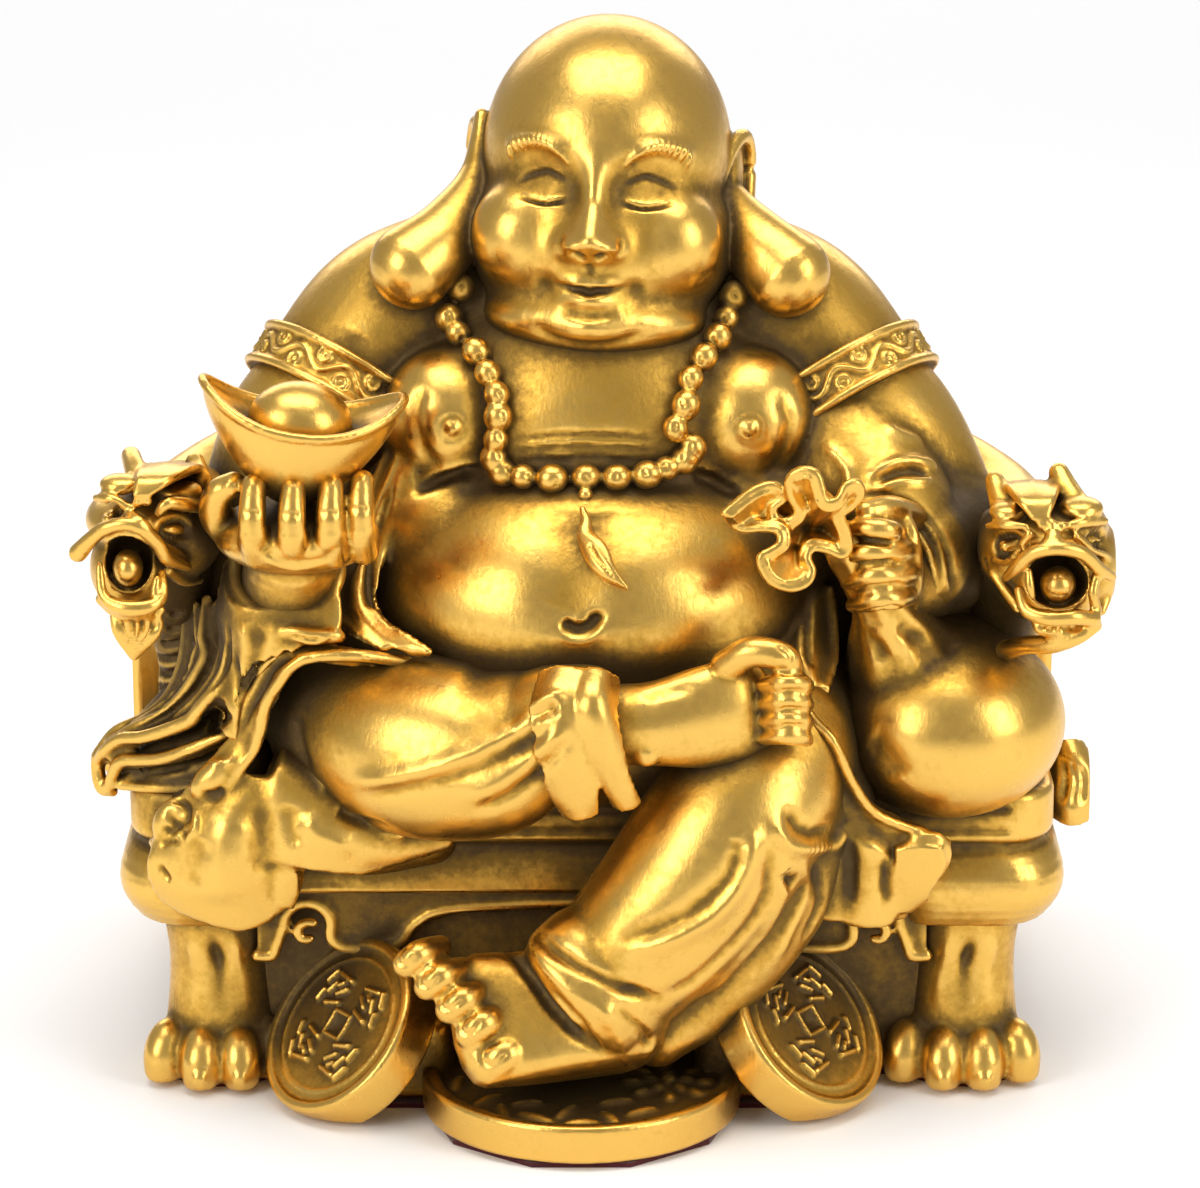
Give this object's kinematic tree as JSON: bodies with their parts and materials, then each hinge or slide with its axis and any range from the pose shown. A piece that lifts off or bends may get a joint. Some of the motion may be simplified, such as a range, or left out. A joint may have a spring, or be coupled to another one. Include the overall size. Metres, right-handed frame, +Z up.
{
  "type": "budai figure",
  "caption": "Seated laughing-monk figure on a dragon armchair, with an ingot, a sack and coins underfoot, cast in brass on a felt pad.",
  "frame": {"origin": "on the felt's underside, below the middle of the seat's width", "axes": "+Z up through the head, the figure faces -Y, +X is the sack's side"},
  "size_m": [0.1632, 0.1191, 0.17],
  "materials": {
    "brass": "satin polished high spots, olive-brown patina in the recesses",
    "felt": "dark red felt"
  },
  "bodies": {
    "root": {"budai_figure": "brass", "felt_pad": "felt"}
  },
  "joints": []
}
